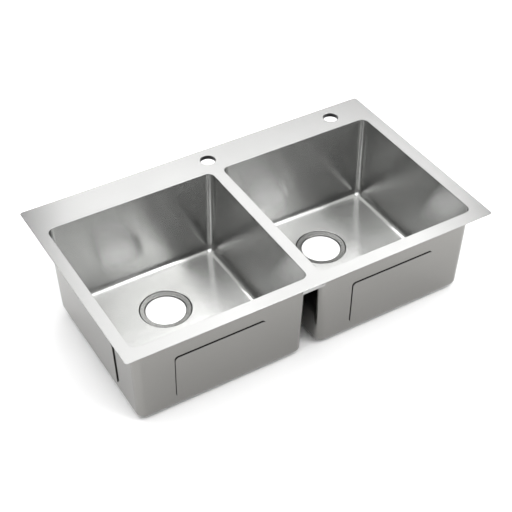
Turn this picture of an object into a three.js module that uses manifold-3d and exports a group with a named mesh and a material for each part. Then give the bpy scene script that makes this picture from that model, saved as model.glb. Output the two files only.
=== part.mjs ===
// Double bowl kitchen sink, drop-in, in satin stainless steel.
// Millimetres, +Z up, +X to the right, the tap ledge at +Y and the front edge at -Y.
// z = 0 is the plane the two drain recesses stand on; x = 0, y = 0 is the middle of the deck.

import * as THREE from "three";
import { mergeVertices } from "three/addons/utils/BufferGeometryUtils.js";
import Module from "manifold-3d";

const wasm = await Module();
wasm.setup();

// ---- deck, seen from above ----
const leftMargin = 26;
const leftBowlWidth = 382;
const dividerWidth = 27;
const rightBowlWidth = 374;
const rightMargin = 31;
const frontMargin = 30;
const bowlLength = 390;
const ledgeDepth = 80;
const deckSheet = 1.5;
const deckCornerRadius = 6;

// ---- bowls ----
const bowlSheet = 1.0;
const bowlDepth = 209;
const bowlCornerRadius = 16;
const bottomFillet = 14;
const wallDraft = 6;
const floorFall = 2.5;
const drainFromRear = 126;
const drainTowardDivider = 4;
const recessDiameter = 115;
const recessFloorDiameter = 108;
const recessStep = 4.6;
const drainHoleDiameter = 89;

// ---- tap holes and the boards below them ----
const tapHoleDiameter = 34;
const tapHoleFromRear = 38;
const centreTapPastDivider = 2.5;
const rightTapFromSide = 95;
const tapBoardWidth = 100;
const tapBoardThickness = 8;
const tapBoardCornerRadius = 6;
const tapBoardWallClearance = 4;
const tapBoardRearInset = 14;

// ---- plates that tie the two bowls together ----
const dividerPlateHeight = 40;
const dividerPlateSheet = 1.2;
const dividerPlateHoleDiameter = 3;
const dividerPlateHoleFromEdge = 9;
const dividerPlateHoleFromTop = 35;

// ---- sound deadening pads ----
const padWidth = 200;
const padHeight = 112;
const padThickness = 2;
const padCornerRadius = 8;
const padMiddleDepth = 126.5;
const frontPadShift = -5;
const bottomPadFromFront = 45;
const bottomPadLength = 110;

// ---- seal under the rim ----
const sealInset = 3;
const sealWidth = 4.5;
const sealThickness = 2;

// ---- rails that carry the clips ----
const railSheet = 1;
const railFlange = 12.8;
const railHeight = 12.5;
const railWallClearance = 1.2;
const rearRailInset = 26.8;
const railEndClearance = 10;
const sideRailEndClearance = 20;
const railTapClearance = 18;

// ---- fold-down clips ----
const armLength = 58;
const armWidth = 8;
const armSheet = 1.2;
const armTabReach = 10;
const armTopTabFromPivot = 7.5;
const armRailClearance = 0.6;
const rivetDiameter = 3.8;
const rivetHeadDiameter = 6.4;
const rivetHeadThickness = 0.6;
const screwDiameter = 5;
const screwHeadAcrossCorners = 8.6;
const screwHeadThickness = 3.2;
const screwFromWeb = 4.1;
const screwCollarDiameter = 7.2;
const screwCollarThickness = 1;
const toeThickness = 6;
const toeFromScrewHead = 4.8;
const toeClawThickness = 2;
const toeClawTipWidth = 4.4;
const toeTipFromRim = 8;

// ---- earthing tag ----
const tagWidth = 14;
const tagDrop = 16;
const tagSheet = 1.2;
const tagHoleDiameter = 5;
const tagFromSide = 120;
const tagFromRear = 45;

// ---- clearances and how finely round shapes are cut ----
const gap = 0.3;
const cornerSteps = 5;
const sideSteps = 11;
const holeSteps = 40;
const smallHoleSteps = 16;
const cutThrough = 5;

// ---- sizes that follow from the ones above ----
const deckWidth = leftMargin + leftBowlWidth + dividerWidth + rightBowlWidth + rightMargin;
const deckDepth = frontMargin + bowlLength + ledgeDepth;
const deckTop = bowlDepth + floorFall + recessStep + bowlSheet;
const deckUnderside = deckTop - deckSheet;
const hangLevel = deckUnderside - gap;
const floorLevel = deckTop - bowlDepth;
const recessRimLevel = floorLevel - floorFall;
const recessFloorLevel = recessRimLevel - recessStep;
const leftEdge = -deckWidth / 2;
const rightEdge = deckWidth / 2;
const frontEdge = -deckDepth / 2;
const rearEdge = deckDepth / 2;
const bowlFront = frontEdge + frontMargin;
const bowlRear = rearEdge - ledgeDepth;
const bowlMiddleY = (bowlFront + bowlRear) / 2;
const wallHeight = hangLevel - (floorLevel + bottomFillet);
const wallTilt = Math.atan(wallDraft / wallHeight);

const leftBowl = {
  left: leftEdge + leftMargin,
  right: leftEdge + leftMargin + leftBowlWidth,
  drainSide: 1,
};
const rightBowl = {
  left: rightEdge - rightMargin - rightBowlWidth,
  right: rightEdge - rightMargin,
  drainSide: -1,
};
for (const bowl of [leftBowl, rightBowl]) {
  bowl.middleX = (bowl.left + bowl.right) / 2;
  bowl.drainX = bowl.middleX + bowl.drainSide * drainTowardDivider;
  bowl.drainY = bowlRear - drainFromRear;
}
const dividerMiddleX = (leftBowl.right + rightBowl.left) / 2;
const tapY = rearEdge - tapHoleFromRear;
const centreTapX = dividerMiddleX + centreTapPastDivider;
const rightTapX = rightEdge - rightTapFromSide;

// ---- materials ----
function finish(color, roughness, metalness) {
  return new THREE.MeshStandardMaterial({ color, roughness, metalness });
}
const satinSteel = finish(0xc9c9c6, 0.32, 1);
const zincSteel = finish(0xb4b8bb, 0.45, 1);
const padRubber = finish(0x8e8e8b, 0.8, 0);
const sealFoam = finish(0x2b2b2c, 0.95, 0);
const boardPlastic = finish(0x26262a, 0.7, 0);

const sink = new THREE.Group();

function addMesh(parent, name, geometry, material) {
  const mesh = new THREE.Mesh(geometry, material);
  mesh.name = name;
  parent.add(mesh);
  return mesh;
}

// ---- solids that are cut and joined ----
function toSolid(geometry) {
  const bare = geometry.clone();
  bare.deleteAttribute("normal");
  bare.deleteAttribute("uv");
  const merged = mergeVertices(bare, 1e-4);
  return new wasm.Manifold(
    new wasm.Mesh({
      numProp: 3,
      vertProperties: new Float32Array(merged.attributes.position.array),
      triVerts: new Uint32Array(merged.index.array),
    }),
  );
}

function toGeometry(solid) {
  const mesh = solid.getMesh();
  const geometry = new THREE.BufferGeometry();
  geometry.setAttribute("position", new THREE.BufferAttribute(new Float32Array(mesh.vertProperties), 3));
  geometry.setIndex(new THREE.BufferAttribute(new Uint32Array(mesh.triVerts), 1));
  geometry.computeVertexNormals();
  return geometry;
}

function cut(geometry, tools) {
  let solid = toSolid(geometry);
  for (const tool of tools) {
    solid = solid.subtract(toSolid(tool));
  }
  return toGeometry(solid);
}

function join(geometries) {
  let solid = toSolid(geometries[0]);
  for (const geometry of geometries.slice(1)) {
    solid = solid.add(toSolid(geometry));
  }
  return toGeometry(solid);
}

// ---- outlines ----
// The outline starts at the right-hand end of the rear right corner and runs anticlockwise.
function roundedRing(middleX, middleY, halfWidth, halfLength, radius, arcSteps, straightSteps) {
  const corners = [
    [1, 1],
    [-1, 1],
    [-1, -1],
    [1, -1],
  ];
  const points = [];
  corners.forEach(([signX, signY], quarter) => {
    const centreX = middleX + signX * (halfWidth - radius);
    const centreY = middleY + signY * (halfLength - radius);
    for (let step = 0; step <= arcSteps; step += 1) {
      const angle = ((quarter + step / arcSteps) * Math.PI) / 2;
      points.push(new THREE.Vector2(centreX + radius * Math.cos(angle), centreY + radius * Math.sin(angle)));
    }
    const arcEnd = points[points.length - 1];
    const [nextX, nextY] = corners[(quarter + 1) % corners.length];
    const nextAngle = ((quarter + 1) * Math.PI) / 2;
    const nextStart = new THREE.Vector2(
      middleX + nextX * (halfWidth - radius) + radius * Math.cos(nextAngle),
      middleY + nextY * (halfLength - radius) + radius * Math.sin(nextAngle),
    );
    for (let step = 1; step < straightSteps; step += 1) {
      points.push(arcEnd.clone().lerp(nextStart, step / straightSteps));
    }
  });
  return points;
}

function roundHole(x, y, diameter, steps) {
  const points = [];
  for (let step = 0; step < steps; step += 1) {
    const angle = (2 * Math.PI * step) / steps;
    points.push(new THREE.Vector2(x + (diameter / 2) * Math.cos(angle), y + (diameter / 2) * Math.sin(angle)));
  }
  return new THREE.Path(points);
}

function plate(outline, holes, thickness) {
  const shape = new THREE.Shape(outline);
  shape.holes = holes;
  return new THREE.ExtrudeGeometry(shape, { depth: thickness, bevelEnabled: false });
}

function rectangle(left, right, bottom, top) {
  return [
    new THREE.Vector2(left, bottom),
    new THREE.Vector2(right, bottom),
    new THREE.Vector2(right, top),
    new THREE.Vector2(left, top),
  ];
}

// A round bar along X or Y, from one coordinate to another.
function barAlongX(fromX, toX, y, z, diameter, steps) {
  const bar = new THREE.CylinderGeometry(diameter / 2, diameter / 2, toX - fromX, steps);
  bar.rotateZ(-Math.PI / 2);
  bar.translate((fromX + toX) / 2, y, z);
  return bar;
}

function barAlongY(fromY, toY, x, z, diameter, steps) {
  const bar = new THREE.CylinderGeometry(diameter / 2, diameter / 2, toY - fromY, steps);
  bar.translate(x, (fromY + toY) / 2, z);
  return bar;
}

function block(fromX, toX, fromY, toY, fromZ, toZ) {
  const box = new THREE.BoxGeometry(toX - fromX, toY - fromY, toZ - fromZ);
  box.translate((fromX + toX) / 2, (fromY + toY) / 2, (fromZ + toZ) / 2);
  return box;
}

// ---- deck ----
function addDeck() {
  const outline = roundedRing(0, 0, deckWidth / 2, deckDepth / 2, deckCornerRadius, cornerSteps, 1);
  const holes = [leftBowl, rightBowl].map((bowl) => {
    const halfWidth = (bowl.right - bowl.left) / 2;
    return new THREE.Path(
      roundedRing(bowl.middleX, bowlMiddleY, halfWidth, bowlLength / 2, bowlCornerRadius, cornerSteps, 1),
    );
  });
  for (const tapX of [centreTapX, rightTapX]) {
    holes.push(roundHole(tapX, tapY, tapHoleDiameter, holeSteps));
  }
  const deck = addMesh(sink, "deck_plate", plate(outline, holes, deckSheet), satinSteel);
  deck.position.z = deckUnderside;
}

// ---- bowls: one skin of sheet, lofted from the rim down to the drain and back up ----
function bowlRing(bowl, inset, radius, level) {
  const halfWidth = (bowl.right - bowl.left) / 2 - inset;
  const ring = roundedRing(
    bowl.middleX, bowlMiddleY, halfWidth, bowlLength / 2 - inset, radius, cornerSteps, sideSteps,
  );
  return ring.map((point) => new THREE.Vector3(point.x, point.y, level));
}

// Points on a circle round the drain, bunched so that each corner of the bowl faces its own crease.
function drainRing(bowl, diameter, level) {
  const halfWidth = (bowl.right - bowl.left) / 2;
  const cornerAngles = [
    Math.atan2(bowlRear - bowl.drainY, bowl.middleX + halfWidth - bowl.drainX),
    Math.atan2(bowlRear - bowl.drainY, bowl.middleX - halfWidth - bowl.drainX),
    Math.atan2(bowlFront - bowl.drainY, bowl.middleX - halfWidth - bowl.drainX) + 2 * Math.PI,
    Math.atan2(bowlFront - bowl.drainY, bowl.middleX + halfWidth - bowl.drainX) + 2 * Math.PI,
  ];
  const perQuarter = cornerSteps + sideSteps;
  const ring = [];
  for (let index = 0; index < 4 * perQuarter; index += 1) {
    const fromFirstCorner = (index - cornerSteps / 2 + 4 * perQuarter) % (4 * perQuarter);
    const quarter = Math.floor(fromFirstCorner / perQuarter);
    const share = fromFirstCorner / perQuarter - quarter;
    const start = cornerAngles[quarter];
    const end = quarter === 3 ? cornerAngles[0] + 2 * Math.PI : cornerAngles[quarter + 1];
    const angle = start + share * (end - start);
    ring.push(
      new THREE.Vector3(
        bowl.drainX + (diameter / 2) * Math.cos(angle),
        bowl.drainY + (diameter / 2) * Math.sin(angle),
        level,
      ),
    );
  }
  return ring;
}

// One face of the sheet from the rim to the drain hole; the sheet's other face is offset outward.
function bowlFace(bowl, offset) {
  const filletRadius = bottomFillet + offset;
  const rings = [bowlRing(bowl, -offset, bowlCornerRadius + offset, hangLevel)];
  for (let step = 0; step <= cornerSteps; step += 1) {
    const angle = ((step / cornerSteps) * Math.PI) / 2;
    const inset = wallDraft + bottomFillet - filletRadius * Math.cos(angle);
    const level = floorLevel + bottomFillet - filletRadius * Math.sin(angle);
    const radius = bowlCornerRadius - bottomFillet + filletRadius * Math.cos(angle);
    rings.push(bowlRing(bowl, inset, radius, level));
  }
  rings.push(drainRing(bowl, recessDiameter + 2 * offset, recessRimLevel - offset));
  rings.push(drainRing(bowl, recessFloorDiameter + 2 * offset, recessFloorLevel - offset));
  rings.push(drainRing(bowl, drainHoleDiameter, recessFloorLevel - offset));
  return rings;
}

function addBowl(name, bowl) {
  const rings = [...bowlFace(bowl, 0), ...bowlFace(bowl, bowlSheet).reverse()];
  const pointsPerRing = rings[0].length;
  const positions = rings.flat().flatMap((point) => [point.x, point.y, point.z]);
  const indices = [];
  rings.forEach((_, row) => {
    const nextRow = (row + 1) % rings.length;
    for (let column = 0; column < pointsPerRing; column += 1) {
      const nextColumn = (column + 1) % pointsPerRing;
      const here = row * pointsPerRing + column;
      const beside = row * pointsPerRing + nextColumn;
      const below = nextRow * pointsPerRing + column;
      const belowBeside = nextRow * pointsPerRing + nextColumn;
      indices.push(here, beside, below, beside, belowBeside, below);
    }
  });
  const geometry = new THREE.BufferGeometry();
  geometry.setAttribute("position", new THREE.Float32BufferAttribute(positions, 3));
  geometry.setIndex(indices);
  geometry.computeVertexNormals();
  addMesh(sink, name, geometry, satinSteel);
}

// ---- plates between the bowls, flush with the bowls' front and rear walls ----
function addDividerPlate(name, outward, hasHole) {
  const wallY = outward < 0 ? bowlFront : bowlRear;
  const faceY = wallY + outward * bowlSheet;
  const top = hangLevel;
  const bottom = top - dividerPlateHeight;
  const sheet = block(
    leftBowl.right - bowlCornerRadius,
    rightBowl.left + bowlCornerRadius,
    Math.min(faceY, faceY - outward * dividerPlateSheet),
    Math.max(faceY, faceY - outward * dividerPlateSheet),
    bottom,
    top,
  );
  const tools = [leftBowl.right - bowlCornerRadius, rightBowl.left + bowlCornerRadius].map((x) => {
    const corner = new THREE.CylinderGeometry(
      bowlCornerRadius + bowlSheet + gap,
      bowlCornerRadius + bowlSheet + gap,
      dividerPlateHeight + 2 * cutThrough,
      2 * holeSteps,
    );
    corner.rotateX(Math.PI / 2);
    corner.translate(x, wallY - outward * bowlCornerRadius, (top + bottom) / 2);
    return corner;
  });
  if (hasHole) {
    tools.push(
      barAlongY(
        faceY - cutThrough,
        faceY + cutThrough,
        rightBowl.left + bowlCornerRadius - dividerPlateHoleFromEdge,
        deckTop - dividerPlateHoleFromTop,
        dividerPlateHoleDiameter,
        smallHoleSteps,
      ),
    );
  }
  addMesh(sink, name, cut(sheet, tools), satinSteel);
}

// ---- sound deadening pads ----
function padGeometry(width, height, thickness) {
  const outline = roundedRing(0, 0, width / 2, height / 2, padCornerRadius, cornerSteps, 1);
  return plate(outline, [], thickness);
}

// The pad lies on a wall that leans in towards its foot by wallTilt.
function addWallPad(name, wallX, wallY, turn) {
  const level = deckTop - padMiddleDepth;
  const leanIn = (hangLevel - level) * Math.tan(wallTilt);
  const standOff = bowlSheet + gap - leanIn;
  const holder = new THREE.Group();
  holder.rotation.z = turn;
  holder.position.set(wallX + standOff * Math.sin(turn), wallY - standOff * Math.cos(turn), level);
  sink.add(holder);
  const pad = addMesh(holder, name, padGeometry(padWidth, padHeight, padThickness), padRubber);
  pad.rotation.x = Math.PI / 2 + wallTilt;
}

// The bottom pad lies in front of the drain and follows the fall of the floor. It is thick enough
// for its rear edge to reach the plane that the drain recesses stand on, so the sink stands level.
function addBottomPad(name, bowl) {
  const flatInset = wallDraft + bottomFillet;
  const slopeLength = bowl.drainY - recessDiameter / 2 - (bowlFront + flatInset);
  const slope = Math.atan(floorFall / slopeLength);
  const undersideAt = (fromFront) => floorLevel - bowlSheet - gap - (fromFront - flatInset) * Math.tan(slope);
  const thickness = undersideAt(bottomPadFromFront + bottomPadLength) / Math.cos(slope);
  const middle = bottomPadFromFront + bottomPadLength / 2;
  const geometry = padGeometry(padWidth, bottomPadLength, thickness);
  geometry.translate(0, 0, -thickness);
  const pad = addMesh(sink, name, geometry, padRubber);
  pad.position.set(bowl.middleX, bowlFront + middle, undersideAt(middle));
  pad.rotation.x = -slope;
}

function addPads(side, bowl) {
  const outerIsLeft = bowl.drainSide > 0;
  const leftName = outerIsLeft ? "outer" : "inner";
  const rightName = outerIsLeft ? "inner" : "outer";
  addWallPad(`${side}_front_pad`, bowl.middleX + frontPadShift, bowlFront, 0);
  addWallPad(`${side}_rear_pad`, bowl.middleX, bowlRear, Math.PI);
  addWallPad(`${side}_${leftName}_pad`, bowl.left, bowlMiddleY, -Math.PI / 2);
  addWallPad(`${side}_${rightName}_pad`, bowl.right, bowlMiddleY, Math.PI / 2);
  addBottomPad(`${side}_bottom_pad`, bowl);
}

// ---- boards that stiffen the ledge round each tap hole ----
function addTapBoard(name, tapX) {
  const front = bowlRear + bowlSheet + tapBoardWallClearance;
  const rear = rearEdge - tapBoardRearInset;
  const outline = roundedRing(
    tapX, (front + rear) / 2, tapBoardWidth / 2, (rear - front) / 2, tapBoardCornerRadius, cornerSteps, 1,
  );
  const hole = roundHole(tapX, tapY, tapHoleDiameter, holeSteps);
  const board = addMesh(sink, name, plate(outline, [hole], tapBoardThickness), boardPlastic);
  board.position.z = hangLevel - tapBoardThickness;
}

// ---- foam seal that the rim presses on the worktop ----
function addSeal() {
  const outline = roundedRing(
    0, 0, deckWidth / 2 - sealInset, deckDepth / 2 - sealInset, deckCornerRadius, cornerSteps, 1,
  );
  const inner = sealInset + sealWidth;
  const hole = roundedRing(
    0, 0, deckWidth / 2 - inner, deckDepth / 2 - inner, deckCornerRadius, cornerSteps, 1,
  );
  const seal = addMesh(sink, "rim_seal", plate(outline, [new THREE.Path(hole)], sealThickness), sealFoam);
  seal.position.z = hangLevel - sealThickness;
}

// ---- rails and clips ----
// A rail's own frame: X along the rail, Y outward to the rim, Z up from the deck's underside.
// Its upright leg faces outward at y = 0. The clip's pivot is given as a distance along X.
const pivotDrop = railSheet + armRailClearance + armWidth / 2;

function railFrame(x, y, turn) {
  const frame = new THREE.Group();
  frame.position.set(x, y, hangLevel);
  frame.rotation.z = turn;
  sink.add(frame);
  return frame;
}

function addRail(frame, name, fromX, toX, pivotX) {
  const section = [
    new THREE.Vector2(-railSheet, 0),
    new THREE.Vector2(-railSheet, -railHeight),
    new THREE.Vector2(0, -railHeight),
    new THREE.Vector2(0, -railSheet),
    new THREE.Vector2(railFlange - railSheet, -railSheet),
    new THREE.Vector2(railFlange - railSheet, 0),
  ];
  const rail = plate(section, [], toX - fromX);
  rail.rotateX(Math.PI / 2);
  rail.rotateZ(Math.PI / 2);
  rail.translate(fromX, 0, 0);
  const hole = barAlongY(
    -cutThrough, cutThrough, pivotX, -pivotDrop, rivetDiameter + 2 * gap, smallHoleSteps,
  );
  addMesh(frame, name, cut(rail, [hole]), zincSteel);
}

function addRivet(clip, name) {
  const headRadius = rivetHeadDiameter / 2;
  const shankRadius = rivetDiameter / 2;
  const backHead = -railSheet - gap;
  const frontHead = gap + armSheet + gap;
  const profile = [
    new THREE.Vector2(0, backHead - rivetHeadThickness),
    new THREE.Vector2(headRadius, backHead - rivetHeadThickness),
    new THREE.Vector2(headRadius, backHead),
    new THREE.Vector2(shankRadius, backHead),
    new THREE.Vector2(shankRadius, frontHead),
    new THREE.Vector2(headRadius, frontHead),
    new THREE.Vector2(headRadius, frontHead + rivetHeadThickness),
    new THREE.Vector2(0, frontHead + rivetHeadThickness),
  ];
  addMesh(clip, name, new THREE.LatheGeometry(profile, smallHoleSteps), zincSteel);
}

const screwLine = gap + armSheet + screwFromWeb;
const headTabEnd = armLength;
const headTabStart = armLength - armSheet;
const topTabStart = armTopTabFromPivot;
const topTabEnd = armTopTabFromPivot + armSheet;

function addArm(clip, name) {
  const outline = [];
  for (let step = 0; step <= smallHoleSteps / 2; step += 1) {
    const angle = Math.PI / 2 + (Math.PI * step) / (smallHoleSteps / 2);
    outline.push(new THREE.Vector2((armWidth / 2) * Math.cos(angle), (armWidth / 2) * Math.sin(angle)));
  }
  outline.push(new THREE.Vector2(headTabEnd, -armWidth / 2));
  outline.push(new THREE.Vector2(headTabEnd, armWidth / 2));
  const web = plate(outline, [roundHole(0, 0, rivetDiameter + 2 * gap, smallHoleSteps)], armSheet);
  web.rotateX(Math.PI / 2);
  web.translate(0, gap + armSheet, 0);
  const tabs = [
    [topTabStart, topTabEnd],
    [headTabStart, headTabEnd],
  ].map(([from, to]) => block(from, to, gap, gap + armTabReach, -armWidth / 2, armWidth / 2));
  const screwHole = barAlongX(
    topTabStart - cutThrough, headTabEnd + cutThrough, screwLine, 0, screwDiameter + 2 * gap, smallHoleSteps,
  );
  addMesh(clip, name, cut(join([web, ...tabs]), [screwHole]), zincSteel);
}

function addScrew(clip, name) {
  const headStart = headTabEnd + gap;
  const collarEnd = topTabStart - gap;
  const collarStart = collarEnd - screwCollarThickness;
  const shank = barAlongX(
    collarStart, headStart + screwHeadThickness / 2, screwLine, 0, screwDiameter, smallHoleSteps,
  );
  const collar = barAlongX(collarStart, collarEnd, screwLine, 0, screwCollarDiameter, smallHoleSteps);
  const head = barAlongX(headStart, headStart + screwHeadThickness, screwLine, 0, screwHeadAcrossCorners, 6);
  addMesh(clip, name, join([shank, collar, head]), zincSteel);
}

function addToe(clip, name, tipReach) {
  const end = headTabStart - toeFromScrewHead;
  const start = end - toeThickness;
  const webFace = gap + armSheet + gap;
  const nutHalf = screwLine - webFace;
  const nut = block(start, end, webFace, screwLine + nutHalf, -nutHalf, nutHalf);
  const claw = plate(
    [
      new THREE.Vector2(screwLine, -nutHalf),
      new THREE.Vector2(screwLine + nutHalf, -nutHalf),
      new THREE.Vector2(tipReach, -toeClawTipWidth / 2),
      new THREE.Vector2(tipReach, toeClawTipWidth / 2),
      new THREE.Vector2(screwLine + nutHalf, nutHalf),
      new THREE.Vector2(screwLine, nutHalf),
    ],
    [],
    toeClawThickness,
  );
  claw.rotateX(Math.PI / 2);
  claw.rotateZ(Math.PI / 2);
  claw.translate(start, 0, 0);
  const thread = barAlongX(
    start - cutThrough, end + cutThrough, screwLine, 0, screwDiameter + 2 * gap, smallHoleSteps,
  );
  addMesh(clip, name, cut(join([nut, claw]), [thread]), zincSteel);
}

function addClip(frame, name, pivotX, railInset) {
  const clip = new THREE.Group();
  clip.position.set(pivotX, 0, -pivotDrop);
  frame.add(clip);
  addRivet(clip, `${name}_clip_rivet`);
  addArm(clip, `${name}_clip_arm`);
  addScrew(clip, `${name}_clip_screw`);
  addToe(clip, `${name}_clip_toe`, railInset - toeTipFromRim);
}

function addRailsAndClips() {
  const halfArm = armLength / 2;
  const wallToFace = bowlSheet + railWallClearance + railSheet;

  // front: a rail in front of each bowl; the frame is turned half round
  const frontInset = frontMargin - wallToFace;
  const front = railFrame(0, frontEdge + frontInset, Math.PI);
  const frontBowls = [
    ["front_left", leftBowl],
    ["front_right", rightBowl],
  ];
  for (const [name, bowl] of frontBowls) {
    const pivot = -bowl.middleX - halfArm;
    addRail(front, `${name}_rail`, -(bowl.right - railEndClearance), -(bowl.left + railEndClearance), pivot);
    addClip(front, name, pivot, frontInset);
  }

  // rear: two short rails that leave room for the taps
  const rear = railFrame(0, rearEdge - rearRailInset, 0);
  const tapKeepOut = tapBoardWidth / 2 + railTapClearance;
  const rearSpans = [
    ["rear_left", leftBowl.left + railEndClearance, centreTapX - tapKeepOut],
    ["rear_right", centreTapX + tapKeepOut, rightTapX - tapKeepOut],
  ];
  for (const [name, from, to] of rearSpans) {
    const pivot = (from + to) / 2 - halfArm;
    addRail(rear, `${name}_rail`, from, to, pivot);
    addClip(rear, name, pivot, rearRailInset);
  }

  // sides
  const leftInset = leftMargin - wallToFace;
  const rightInset = rightMargin - wallToFace;
  const left = railFrame(leftEdge + leftInset, bowlMiddleY, Math.PI / 2);
  const right = railFrame(rightEdge - rightInset, bowlMiddleY, -Math.PI / 2);
  const halfRail = bowlLength / 2 - sideRailEndClearance;
  addRail(left, "left_rail", -halfRail, halfRail, -halfArm);
  addClip(left, "left_side", -halfArm, leftInset);
  addRail(right, "right_rail", -halfRail, halfRail, -halfArm);
  addClip(right, "right_side", -halfArm, rightInset);
}

// ---- earthing tag under the rear left of the ledge ----
function addEarthTag() {
  const hole = roundHole(0, -tagDrop + tagWidth / 2, tagHoleDiameter, smallHoleSteps);
  const tag = plate(rectangle(-tagWidth / 2, tagWidth / 2, -tagDrop, 0), [hole], tagSheet);
  tag.rotateX(Math.PI / 2);
  const mesh = addMesh(sink, "earth_tag", tag, satinSteel);
  mesh.position.set(leftEdge + tagFromSide, rearEdge - tagFromRear, hangLevel);
}

addDeck();
addSeal();
addBowl("left_bowl", leftBowl);
addBowl("right_bowl", rightBowl);
addDividerPlate("front_divider_plate", -1, true);
addDividerPlate("rear_divider_plate", 1, false);
addPads("left", leftBowl);
addPads("right", rightBowl);
addTapBoard("centre_tap_board", centreTapX);
addTapBoard("right_tap_board", rightTapX);
addRailsAndClips();
addEarthTag();

export default sink;
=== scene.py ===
import math
import bmesh
import bpy
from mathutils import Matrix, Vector


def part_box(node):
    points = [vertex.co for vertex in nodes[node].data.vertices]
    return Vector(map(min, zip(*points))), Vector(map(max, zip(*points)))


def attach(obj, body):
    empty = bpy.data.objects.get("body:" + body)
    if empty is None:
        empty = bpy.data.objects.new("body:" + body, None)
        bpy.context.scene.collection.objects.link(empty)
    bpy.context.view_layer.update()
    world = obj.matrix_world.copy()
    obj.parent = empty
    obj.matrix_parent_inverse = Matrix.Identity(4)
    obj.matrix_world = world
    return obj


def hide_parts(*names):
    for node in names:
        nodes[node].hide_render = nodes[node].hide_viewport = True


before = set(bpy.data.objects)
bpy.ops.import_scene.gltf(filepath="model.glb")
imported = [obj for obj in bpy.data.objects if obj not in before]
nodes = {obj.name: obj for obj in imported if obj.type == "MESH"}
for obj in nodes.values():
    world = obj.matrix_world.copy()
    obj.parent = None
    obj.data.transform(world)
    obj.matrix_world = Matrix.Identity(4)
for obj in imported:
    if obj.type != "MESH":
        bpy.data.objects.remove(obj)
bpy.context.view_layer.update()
print("frame loaded:", len(nodes), "nodes")

closeEnough = 0.00001  # metres, when something is found by its place
nearlyStraight = 0.9  # cosine, when something is found by its direction
cornerFold = 1  # radians between the two faces at a corner's edge


# selecting and shaping
def deselectAll():
    if bpy.context.mode != "OBJECT":
        bpy.ops.object.mode_set(mode="OBJECT")
    bpy.ops.object.select_all(action="DESELECT")


def makeActive(piece):
    deselectAll()
    piece.select_set(True)
    bpy.context.view_layer.objects.active = piece


def startEditing(piece):
    makeActive(piece)
    bpy.ops.object.mode_set(mode="EDIT")


def stopEditing():
    bpy.ops.object.mode_set(mode="OBJECT")


def pick(piece, kind, test):
    bpy.ops.mesh.select_mode(type=kind)
    bpy.ops.mesh.select_all(action="DESELECT")
    shape = bmesh.from_edit_mesh(piece.data)
    shape.normal_update()
    parts = {"EDGE": shape.edges, "FACE": shape.faces}[kind]
    for part in parts:
        if test(part):
            part.select_set(True)
    shape.select_flush_mode()
    bmesh.update_edit_mesh(piece.data)


def middleOf(edge):
    return (edge.verts[0].co + edge.verts[1].co) / 2


def isUpright(edge):
    run = edge.verts[1].co - edge.verts[0].co
    return abs(run.z) > nearlyStraight * run.length and edge.calc_face_angle(0) > cornerFold


def bevelPicked(radius, steps):
    bpy.ops.mesh.bevel(offset=radius, segments=steps, affect="EDGES", clamp_overlap=False)


def placeIsApplied(name):
    piece = bpy.context.object
    piece.name = name
    piece.data.name = name
    bpy.ops.object.transform_apply(location=True, rotation=True, scale=True)
    return piece


def addBlock(name, low, high):
    low, high = Vector(low), Vector(high)
    deselectAll()
    bpy.ops.mesh.primitive_cube_add(size=1, location=(low + high) / 2, scale=high - low)
    return placeIsApplied(name)


def addRod(name, middle, radius, depth, steps):
    deselectAll()
    bpy.ops.mesh.primitive_cylinder_add(vertices=steps, radius=radius, depth=depth, location=middle)
    return placeIsApplied(name)


def roundUprightEdges(piece, radius, steps):
    startEditing(piece)
    pick(piece, "EDGE", isUpright)
    bevelPicked(radius, steps)
    stopEditing()


def applyModifier(piece, kind, **settings):
    makeActive(piece)
    modifier = piece.modifiers.new(kind.title(), kind)
    for key, value in settings.items():
        setattr(modifier, key, value)
    bpy.ops.object.modifier_apply(modifier=modifier.name)


def cutAway(piece, cutters):
    for cutter in cutters:
        applyModifier(piece, "BOOLEAN", operation="DIFFERENCE", object=cutter, solver="EXACT")
        bpy.data.objects.remove(cutter, do_unlink=True)


def breakEdges(piece, radius, steps=2, sharperThan=35):
    applyModifier(
        piece, "BEVEL", width=radius, segments=steps, limit_method="ANGLE",
        angle_limit=math.radians(sharperThan), use_clamp_overlap=True, miter_outer="MITER_ARC",
    )


def smoothOver(piece, angle=35):
    makeActive(piece)
    bpy.ops.object.shade_smooth_by_angle(angle=math.radians(angle))
    applyModifier(piece, "WEIGHTED_NORMAL", keep_sharp=True, weight=80)


def mergedCopy(node):
    first, *others = node.split("_")
    name = first + "".join(word.title() for word in others)
    piece = bpy.data.objects.new(name, nodes[node].data.copy())
    piece.data.name = name
    piece.data.materials.clear()
    bpy.context.scene.collection.objects.link(piece)
    startEditing(piece)
    bpy.ops.mesh.select_all(action="SELECT")
    bpy.ops.mesh.remove_doubles(threshold=closeEnough)
    bpy.ops.mesh.customdata_custom_splitnormals_clear()
    bpy.ops.mesh.dissolve_limited(angle_limit=math.radians(1))
    stopEditing()
    return piece


def standFor(piece, node, body="sink"):
    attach(piece, body)
    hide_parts(node)


# a copy of a CAD node with its edges broken
def dressNode(node, edge, materials, body="sink", sharperThan=35):
    piece = mergedCopy(node)
    breakEdges(piece, edge, sharperThan=sharperThan)
    smoothOver(piece)
    for material in materials:
        piece.data.materials.append(material)
    standFor(piece, node, body)
    return piece


# materials
def startMaterial(name, color, roughness, metallic):
    material = bpy.data.materials.new(name)
    material.use_nodes = True
    shader = material.node_tree.nodes["Principled BSDF"]
    shader.inputs["Base Color"].default_value = (*color, 1)
    shader.inputs["Roughness"].default_value = roughness
    shader.inputs["Metallic"].default_value = metallic
    return material, shader


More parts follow.
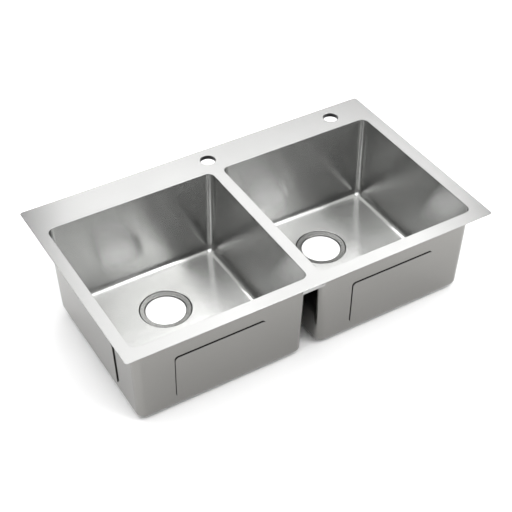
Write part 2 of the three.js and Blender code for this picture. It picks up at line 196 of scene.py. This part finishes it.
def noiseOver(tree, scale, detail):
    coords = tree.nodes.new("ShaderNodeTexCoord")
    mapping = tree.nodes.new("ShaderNodeMapping")
    noise = tree.nodes.new("ShaderNodeTexNoise")
    mapping.inputs["Scale"].default_value = scale
    noise.inputs["Scale"].default_value = 1
    noise.inputs["Detail"].default_value = detail
    tree.links.new(coords.outputs["Object"], mapping.inputs["Vector"])
    tree.links.new(mapping.outputs["Vector"], noise.inputs["Vector"])
    return noise.outputs["Fac"]


# a noise seldom leaves 0.3 to 0.7
def spread(tree, value, low, high, fromLow=0.3, fromHigh=0.7):
    ranged = tree.nodes.new("ShaderNodeMapRange")
    for key, number in (("From Min", fromLow), ("From Max", fromHigh), ("To Min", low), ("To Max", high)):
        ranged.inputs[key].default_value = number
    tree.links.new(value, ranged.inputs["Value"])
    return ranged.outputs["Result"]


def addUp(tree, first, second):
    total = tree.nodes.new("ShaderNodeMath")
    total.operation = "ADD"
    tree.links.new(first, total.inputs[0])
    tree.links.new(second, total.inputs[1])
    return total.outputs["Value"]


def blendColors(tree, factor, colorA, colorB):
    mix = tree.nodes.new("ShaderNodeMix")
    mix.data_type = "RGBA"
    mix.inputs["A"].default_value = (*colorA, 1)
    mix.inputs["B"].default_value = (*colorB, 1)
    tree.links.new(factor, mix.inputs["Factor"])
    return mix.outputs["Result"]


def blendValues(tree, factor, first, second):
    mix = tree.nodes.new("ShaderNodeMix")
    mix.data_type = "FLOAT"
    tree.links.new(factor, mix.inputs["Factor"])
    tree.links.new(first, mix.inputs["A"])
    tree.links.new(second, mix.inputs["B"])
    return mix.outputs["Result"]


def bumpFrom(tree, height, distance, strength):
    bump = tree.nodes.new("ShaderNodeBump")
    bump.inputs["Distance"].default_value = distance
    bump.inputs["Strength"].default_value = strength
    tree.links.new(height, bump.inputs["Height"])
    return bump.outputs["Normal"]


# how far a face looks up or down, 0 on a wall and 1 on a floor
def facingUp(tree):
    geometry = tree.nodes.new("ShaderNodeNewGeometry")
    toObject = tree.nodes.new("ShaderNodeVectorTransform")
    parts = tree.nodes.new("ShaderNodeSeparateXYZ")
    size = tree.nodes.new("ShaderNodeMath")
    toObject.vector_type = "NORMAL"
    toObject.convert_from = "WORLD"
    toObject.convert_to = "OBJECT"
    size.operation = "ABSOLUTE"
    tree.links.new(geometry.outputs["True Normal"], toObject.inputs["Vector"])
    tree.links.new(toObject.outputs["Vector"], parts.inputs["Vector"])
    tree.links.new(parts.outputs["Z"], size.inputs[0])
    return size.outputs["Value"]


steelLook = {
    "color": (0.47, 0.472, 0.465),
    "colorWorn": (0.45, 0.452, 0.445),
    "roughness": (0.205, 0.235),
    "grainLength": 14,  # noise cells in a metre, along the grain
    "grainDensity": 2600,  # and across it
    "grainDetail": 4,
    "grainDepth": 0.00002,
    "grainStrength": 0.012,
    "cloudScale": 9,
    "cloudDetail": 2,
    "cloudRoughness": 0.012,
    "stretch": 0.9,
    "tangent": {"Y": 0.05, "Z": 1},  # which way the gloss is stretched
}


# satin steel: a grain that runs level along walls and floors, and faint clouds in the gloss
def makeSteel(name, changes):
    look = {**steelLook, **changes}
    material, shader = startMaterial(name, look["color"], look["roughness"][0], 1)
    tree = material.node_tree
    along, across = look["grainLength"], look["grainDensity"]
    onWalls = noiseOver(tree, (along, along, across), look["grainDetail"])
    onFloors = noiseOver(tree, (along, across, along), look["grainDetail"])
    grain = blendValues(tree, facingUp(tree), onWalls, onFloors)
    clouds = noiseOver(tree, (look["cloudScale"],) * 3, look["cloudDetail"])
    fine = spread(tree, grain, *look["roughness"])
    uneven = spread(tree, clouds, -look["cloudRoughness"], look["cloudRoughness"])
    bumps = bumpFrom(tree, grain, look["grainDepth"], look["grainStrength"])
    shader.inputs["Anisotropic"].default_value = look["stretch"]
    tree.links.new(addUp(tree, fine, uneven), shader.inputs["Roughness"])
    tree.links.new(blendColors(tree, grain, look["color"], look["colorWorn"]), shader.inputs["Base Color"])
    tree.links.new(bumps, shader.inputs["Normal"])
    tangent = tree.nodes.new("ShaderNodeCombineXYZ")
    for axis, share in look["tangent"].items():
        tangent.inputs[axis].default_value = share
    tree.links.new(tangent.outputs["Vector"], shader.inputs["Tangent"])
    return material


rubberLook = {
    "color": (0.026, 0.026, 0.025),
    "colorWorn": (0.04, 0.04, 0.038),
    "roughness": 0.75,
    "roughnessSpread": 0.08,
    "grainScale": 900,
    "grainDetail": 4,
    "grainDepth": 0.0002,
    "grainStrength": 0.5,
    "patchScale": 25,
    "patchDetail": 2,
}


def makeRubber(name, changes):
    look = {**rubberLook, **changes}
    material, shader = startMaterial(name, look["color"], look["roughness"], 0)
    tree = material.node_tree
    grain = noiseOver(tree, (look["grainScale"],) * 3, look["grainDetail"])
    patches = noiseOver(tree, (look["patchScale"],) * 3, look["patchDetail"])
    low, high = look["roughness"] - look["roughnessSpread"], look["roughness"] + look["roughnessSpread"]
    bumps = bumpFrom(tree, grain, look["grainDepth"], look["grainStrength"])
    tree.links.new(blendColors(tree, patches, look["color"], look["colorWorn"]), shader.inputs["Base Color"])
    tree.links.new(spread(tree, grain, low, high), shader.inputs["Roughness"])
    tree.links.new(bumps, shader.inputs["Normal"])
    return material


bowlSteel = makeSteel("bowlSteel", {})
# the deck's steel is a darker copy of the bowl steel, its tone fitted to how light falls on the deck: painted
# shade
deckSteel = makeSteel("deckSteel", {"color": (0.375, 0.375, 0.371), "colorWorn": (0.36, 0.36, 0.356)})
# a darker copy of the bowl steel for the bowls' outside: a rougher, unstretched finish, and painted shade in
# its darker tone
outerSteel = makeSteel("outerSteel", {
    "color": (0.245, 0.241, 0.231), "colorWorn": (0.23, 0.226, 0.216),
    "roughness": (0.14, 0.18), "stretch": 0,
})
# the pads' skin takes the same darker tone as the outer walls: painted shade
padSkin = makeSteel("padSkin", {
    "color": (0.245, 0.241, 0.231), "colorWorn": (0.23, 0.226, 0.216),
    "roughness": (0.15, 0.19), "stretch": 0,
})
# the drain ring's steel: a darker copy of the bowl steel, painted shade on the dished ring
paintedShadeRingSteel = makeSteel("paintedShadeRingSteel", {
    "color": (0.235, 0.235, 0.231), "colorWorn": (0.2, 0.2, 0.196),
    "roughness": (0.18, 0.22), "stretch": 0,
})
# near-black steel for the recess's step wall and the lip into the hole: painted shade, not a cut edge
paintedShadeSteel = makeSteel("paintedShadeSteel", {
    "color": (0.1, 0.1, 0.097), "colorWorn": (0.07, 0.07, 0.068),
    "roughness": (0.38, 0.48), "stretch": 0,
})
zincSteel = makeSteel("zincSteel", {
    "color": (0.52, 0.54, 0.56), "colorWorn": (0.44, 0.46, 0.48),
    "roughness": (0.34, 0.46), "stretch": 0,
    "grainLength": 160, "grainDensity": 420, "grainDepth": 0.00004,
})
blackRubber = makeRubber("blackRubber", {})
foam = makeRubber("sealFoam", {
    "color": (0.012, 0.012, 0.012), "colorWorn": (0.028, 0.028, 0.029), "roughness": 0.85,
    "grainScale": 1600, "grainDepth": 0.0006,
})
boardPlastic = makeRubber("boardPlastic", {
    "color": (0.016, 0.016, 0.018), "colorWorn": (0.028, 0.028, 0.03), "roughness": 0.5,
    "grainScale": 700, "grainDepth": 0.0001,
})
print("materials made")


# bowls: a block opened at the top, leaning walls, rounded corners and foot, a drain recess in the floor
bowlShape = {
    "sheet": 0.001,
    "cornerRadius": 0.016,
    "cornerSteps": 10,
    "footRadius": 0.014,
    "footSteps": 8,
    "draft": 0.006,  # how far each wall leans in
    "wallCuts": 10,
    "floorLevel": 0.0081,
    "floorFall": 0.0025,
    "floorCuts": 7,
    "drainFromRear": 0.126,
    "drainTowardDivider": 0.004,
    "recessRadius": 0.0575,
    "recessSteps": [(0.0553, 0.0019), (0.0457, 0.0024), (0.0437, 0.0046)],  # radius, depth
    "recessEdge": 0.0006,
    "recessEdgeSteps": 3,
    "recessFold": 0.1,  # radians, past which an edge in the recess is rounded
    "smoothAngle": 40,  # degrees
}
bowlMaterials = [outerSteel, bowlSteel, paintedShadeRingSteel, paintedShadeSteel]


def bowlInside(node):
    low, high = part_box(node)
    sheet = Vector((bowlShape["sheet"], bowlShape["sheet"], 0))
    return low + sheet, high - sheet


def shapeWalls(piece, low, high):
    s = bowlShape
    middle, size = (low + high) / 2, high - low
    floor = s["floorLevel"]
    wallHeight = high.z - floor
    lean = s["draft"] * wallHeight / (wallHeight - s["footRadius"])

    def isFootEdge(edge):
        return abs(middleOf(edge).z - floor) < closeEnough and edge.calc_face_angle(0) > cornerFold

    pick(piece, "FACE", lambda face: face.normal.z > nearlyStraight)
    bpy.ops.mesh.delete(type="ONLY_FACE")
    # the walls lean in towards the floor
    pick(piece, "FACE", lambda face: face.normal.z < -nearlyStraight)
    bpy.ops.transform.resize(
        value=((size.x - 2 * lean) / size.x, (size.y - 2 * lean) / size.y, 1),
        center_override=(middle.x, middle.y, floor),
    )
    bpy.ops.mesh.select_all(action="SELECT")
    bpy.ops.mesh.subdivide(number_cuts=s["wallCuts"])
    pick(piece, "EDGE", isUpright)
    bevelPicked(s["cornerRadius"], s["cornerSteps"])
    pick(piece, "EDGE", isFootEdge)
    bevelPicked(s["footRadius"], s["footSteps"])


# the flat floor gives way to one that falls to the drain
def shapeFloor(piece, drain, rimLevel):
    s = bowlShape
    floor = s["floorLevel"]

    def isFloorRim(edge):
        return edge.is_boundary and middleOf(edge).z < floor + closeEnough

    pick(piece, "FACE", lambda face: all(abs(v.co.z - floor) < closeEnough for v in face.verts))
    bpy.ops.mesh.delete(type="FACE")
    pick(piece, "EDGE", isFloorRim)
    count = sum(edge.select for edge in bmesh.from_edit_mesh(piece.data).edges)
    bpy.ops.mesh.primitive_circle_add(
        vertices=count, radius=s["recessRadius"], location=(drain.x, drain.y, rimLevel), fill_type="NOTHING",
    )
    pick(piece, "EDGE", lambda edge: edge.is_wire or isFloorRim(edge))
    bpy.ops.mesh.bridge_edge_loops(number_cuts=s["floorCuts"], interpolation="LINEAR")


# the recess: a step down, a dished ring and a lip turned down into the hole
def shapeRecess(piece, drain, rimLevel):
    s = bowlShape

    def isRecessRim(edge):
        return edge.is_boundary and abs(middleOf(edge).z - rimLevel) < closeEnough

    def isRecessEdge(edge):
        isLevel = abs(edge.verts[0].co.z - edge.verts[1].co.z) < closeEnough
        isInside = (middleOf(edge) - drain).xy.length < s["recessRadius"] + closeEnough
        return isLevel and isInside and not edge.is_boundary and edge.calc_face_angle(0) > s["recessFold"]

    pick(piece, "EDGE", isRecessRim)
    radius, depth = s["recessRadius"], 0
    for nextRadius, nextDepth in s["recessSteps"]:
        bpy.ops.mesh.extrude_edges_move(TRANSFORM_OT_translate={"value": (0, 0, depth - nextDepth)})
        narrower = nextRadius / radius
        bpy.ops.transform.resize(value=(narrower, narrower, 1), center_override=drain)
        radius, depth = nextRadius, nextDepth
    pick(piece, "EDGE", isRecessEdge)
    bevelPicked(s["recessEdge"], s["recessEdgeSteps"])


# painted shade: the dished ring gets the darker ring steel, the step wall and the lip the near-black steel
def paintRecess(piece, drain):
    s = bowlShape
    stepRadius = s["recessSteps"][0][0]
    lipRadius = s["recessSteps"][-2][0] - s["recessEdge"] / 2
    for face in piece.data.polygons:
        reach = (face.center - drain).xy.length
        if reach < s["recessRadius"]:
            isRing = lipRadius < reach < stepRadius
            face.material_index = bowlMaterials.index(paintedShadeRingSteel if isRing else paintedShadeSteel)


def addBowl(name, node, dividerSide):
    s = bowlShape
    low, high = bowlInside(node)
    middle = (low + high) / 2
    drain = Vector((middle.x + dividerSide * s["drainTowardDivider"], high.y - s["drainFromRear"], 0))
    rimLevel = s["floorLevel"] - s["floorFall"]
    piece = addBlock(name, (low.x, low.y, s["floorLevel"]), high)
    startEditing(piece)
    shapeWalls(piece, low, high)
    shapeFloor(piece, drain, rimLevel)
    shapeRecess(piece, drain, rimLevel)
    bpy.ops.mesh.select_all(action="SELECT")
    bpy.ops.mesh.remove_doubles(threshold=closeEnough / 10)
    bpy.ops.mesh.normals_make_consistent(inside=False)
    stopEditing()
    for material in bowlMaterials:
        piece.data.materials.append(material)
    # the sheet's inner side and its rims turn to bowl steel
    toInside = bowlMaterials.index(bowlSteel)
    applyModifier(
        piece, "SOLIDIFY", thickness=s["sheet"], offset=1, use_even_offset=True,
        material_offset=toInside, material_offset_rim=toInside,
    )
    paintRecess(piece, drain)
    smoothOver(piece, s["smoothAngle"])
    standFor(piece, node)
    return piece


for name, node, dividerSide in (("leftBowl", "left_bowl", 1), ("rightBowl", "right_bowl", -1)):
    bowl = addBowl(name, node, dividerSide)
print("bowls made:", len(bowl.data.polygons), "faces each")


# deck: one plate with two openings and two tap holes, its edges broken
deckShape = {
    "cornerRadius": 0.006,
    "cornerSteps": 8,
    "openingRadius": 0.016,
    "openingSteps": 10,
    "edge": 0.0007,
    "edgeSteps": 4,
    "tapRadius": 0.017,
    "tapSteps": 64,
    "tapHoles": [(0.004, 0.212), (0.325, 0.212)],
    "cutThrough": 0.01,  # how far the cutters reach past the plate
}


def addDeck():
    s = deckShape
    low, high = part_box("deck_plate")
    piece = addBlock("deckPlate", low, high)
    roundUprightEdges(piece, s["cornerRadius"], s["cornerSteps"])
    through = Vector((0, 0, s["cutThrough"]))
    cutters = []
    for node in ("left_bowl", "right_bowl"):
        bowlLow, bowlHigh = bowlInside(node)
        bottom = Vector((bowlLow.x, bowlLow.y, low.z)) - through
        cutter = addBlock("cutter", bottom, Vector((bowlHigh.x, bowlHigh.y, high.z)) + through)
        roundUprightEdges(cutter, s["openingRadius"], s["openingSteps"])
        cutters.append(cutter)
    for x, y in s["tapHoles"]:
        cutters.append(addRod("cutter", (x, y, high.z), s["tapRadius"], 2 * s["cutThrough"], s["tapSteps"]))
    cutAway(piece, cutters)
    breakEdges(piece, s["edge"], s["edgeSteps"])
    smoothOver(piece)
    piece.data.materials.append(deckSteel)
    standFor(piece, "deck_plate")
    return piece


deck = addDeck()
print("deck made:", len(deck.data.polygons), "faces")


# plates, boards, rails and the earthing tag
sheetPieces = [
    {
        "nodes": ["front_divider_plate", "rear_divider_plate"],
        "edge": 0.0003, "material": deckSteel, "slot": "satin_steel",
    },
    {
        "nodes": ["centre_tap_board", "right_tap_board"],
        "edge": 0.0008, "material": boardPlastic, "slot": "board_plastic",
    },
    {
        "nodes": [
            "front_left_rail", "front_right_rail", "rear_left_rail", "rear_right_rail",
            "left_rail", "right_rail",
        ],
        "edge": 0.00045, "material": zincSteel, "slot": "galvanised_steel",
    },
    {"nodes": ["earth_tag"], "edge": 0.0003, "material": bowlSteel, "slot": "satin_steel"},
]
for group in sheetPieces:
    for node in group["nodes"]:
        dressNode(node, group["edge"], [group["material"]])
print("plates, boards, rails and tag made")


# pads: black rubber, with a satin skin on the side that faces away from the bowl
padShape = {
    "places": ["front", "rear", "outer", "inner", "bottom"],
    "edge": 0.0006,
    "skinTilt": 0.5,  # cosine, below which the rubber shows
}


def addPad(side, place):
    piece = dressNode(f"{side}_{place}_pad", padShape["edge"], [blackRubber, padSkin])
    low, high = bowlInside(f"{side}_bowl")
    middle = (low + high) / 2
    outward = [face for face in piece.data.polygons if face.normal.dot(face.center - middle) > 0]
    largest = max(outward, key=lambda face: face.area)
    for face in piece.data.polygons:
        if face.normal.dot(largest.normal) > padShape["skinTilt"]:
            face.material_index = 1


for side in ("left", "right"):
    for place in padShape["places"]:
        addPad(side, place)
print("pads made")


# clips: the rivet stays on its rail, and the other three pieces ride on their own bodies
clipShape = {
    "places": ["front_left", "front_right", "rear_left", "rear_right", "left_side", "right_side"],
    "edges": {"rivet": 0.00015, "arm": 0.0003, "screw": 0.0003, "toe": 0.0004},
    "sharperThan": 40,  # degrees, past which an edge is broken
}
for place in clipShape["places"]:
    for part, edge in clipShape["edges"].items():
        node = f"{place}_clip_{part}"
        body = "sink" if part == "rivet" else node
        dressNode(node, edge, [zincSteel], body, clipShape["sharperThan"])
print("clips made")

sealShape = {"edge": 0.0005}
dressNode("rim_seal", sealShape["edge"], [foam])
print("seal made")


# floor, light and camera
stageLook = {
    "floorColor": (0.95, 0.95, 0.95),
    "floorRoughness": 0.9,
    "floorSize": 8,
    "floorLevel": -0.0002,
    "worldColor": (1, 1, 1),
    "worldStrength": 0.06,
    "backdropStrength": 0.93,
}
deselectAll()
bpy.ops.mesh.primitive_plane_add(size=stageLook["floorSize"], location=(0, 0, stageLook["floorLevel"]))
floor = placeIsApplied("studioFloor")
floorPaint, floorShader = startMaterial("floorPaint", stageLook["floorColor"], stageLook["floorRoughness"], 0)
floorShader.inputs["Specular IOR Level"].default_value = 0
floor.data.materials.append(floorPaint)

world = bpy.data.worlds.new("studio")
bpy.context.scene.world = world
world.use_nodes = True
background = world.node_tree.nodes["Background"]
background.inputs["Color"].default_value = (*stageLook["worldColor"], 1)
# a pale backdrop that lights nothing
lightPath = world.node_tree.nodes.new("ShaderNodeLightPath")
worldStrength = spread(
    world.node_tree, lightPath.outputs["Is Camera Ray"],
    stageLook["worldStrength"], stageLook["backdropStrength"], fromLow=0, fromHigh=1,
)
world.node_tree.links.new(worldStrength, background.inputs["Strength"])
bpy.context.scene.view_settings.view_transform = "Standard"

# turn is 0 in front, 90 on the right and 180 behind, in degrees, and height is the angle above the floor
softboxes = {
    "ceiling": {"turn": 0, "height": 90, "distance": 3.6, "size": (5.6, 5.6), "brightness": 1.88},
    "front": {"turn": 5, "height": 60, "distance": 4, "size": (4, 1.6), "brightness": 2.2},
    "lowFront": {"turn": 30, "height": 16, "distance": 4, "size": (2, 1.2), "brightness": 4},
    "frontLeft": {"turn": -62, "height": 42, "distance": 4, "size": (1.1, 0.9), "brightness": 5},
    "keyLeft": {"turn": 21, "height": 43, "distance": 4, "size": (0.2, 1), "brightness": 8.5},
    "keyRight": {"turn": 31, "height": 43, "distance": 4, "size": (0.3, 1.2), "brightness": 15},
    "nearRight": {"turn": 40, "height": 36, "distance": 1.4, "size": (0.2, 0.3), "brightness": 2},
    "sideRight": {"turn": 62, "height": 34, "distance": 2.2, "size": (1.2, 0.8), "brightness": 1.6},
    "rearRight": {"turn": 148, "height": 41, "distance": 4, "size": (2.5, 1.1), "brightness": 2.95},
    "rear": {"turn": 180, "height": 62, "distance": 4, "size": (3, 1.6), "brightness": 1.1},
    "rearStrip": {"turn": -166, "height": 44, "distance": 4, "size": (0.5, 1.2), "brightness": 8},
    "rearLeft": {"turn": -130, "height": 58, "distance": 4, "size": (2, 1.8), "brightness": 2.1},
    "left": {"turn": -100, "height": 40, "distance": 4, "size": (1.8, 1.2), "brightness": 0.8},
    "rightWall": {"turn": 90, "height": 9, "distance": 5.5, "size": (10, 1.6), "brightness": 0.7},
    "leftWall": {"turn": -90, "height": 9, "distance": 5.5, "size": (10, 1.6), "brightness": 0.7},
    "rearWall": {"turn": 180, "height": 9, "distance": 5.5, "size": (10, 1.6), "brightness": 0.7},
}


def awayFrom(turn, height):
    turn, lift = math.radians(turn), math.radians(height)
    return Vector((math.sin(turn) * math.cos(lift), -math.cos(turn) * math.cos(lift), math.sin(lift)))


# a lamp or camera at its place, looking back along the direction it stands in
def placeLooking(name, data, location, away):
    holder = bpy.data.objects.new(name, data)
    holder.location = location
    holder.rotation_mode = "QUATERNION"
    holder.rotation_quaternion = away.to_track_quat("Z", "Y")
    bpy.context.scene.collection.objects.link(holder)
    return holder


def addSoftbox(name, turn, height, distance, size, brightness):
    away = awayFrom(turn, height)
    lamp = bpy.data.lights.new(name, "AREA")
    lamp.shape = "RECTANGLE"
    lamp.size, lamp.size_y = size
    lamp.energy = math.pi * size[0] * size[1] * brightness
    placeLooking(name, lamp, away * distance, away)


for name, settings in softboxes.items():
    addSoftbox(name, **settings)

view = {
    "turn": -30.8,
    "height": 41.14,
    "distance": 2.442,
    "target": (-0.01025, -0.0171, 0.1171),
    "lens": 81.46,
    "sensor": 36,
    "farthest": 50,
}
back = awayFrom(view["turn"], view["height"])
lensData = bpy.data.cameras.new("photoCamera")
lensData.sensor_width = view["sensor"]
lensData.lens = view["lens"]
lensData.clip_end = view["farthest"]
cameraPlace = Vector(view["target"]) + back * view["distance"]
bpy.context.scene.camera = placeLooking("photoCamera", lensData, cameraPlace, back)
print("stage, light and camera set")
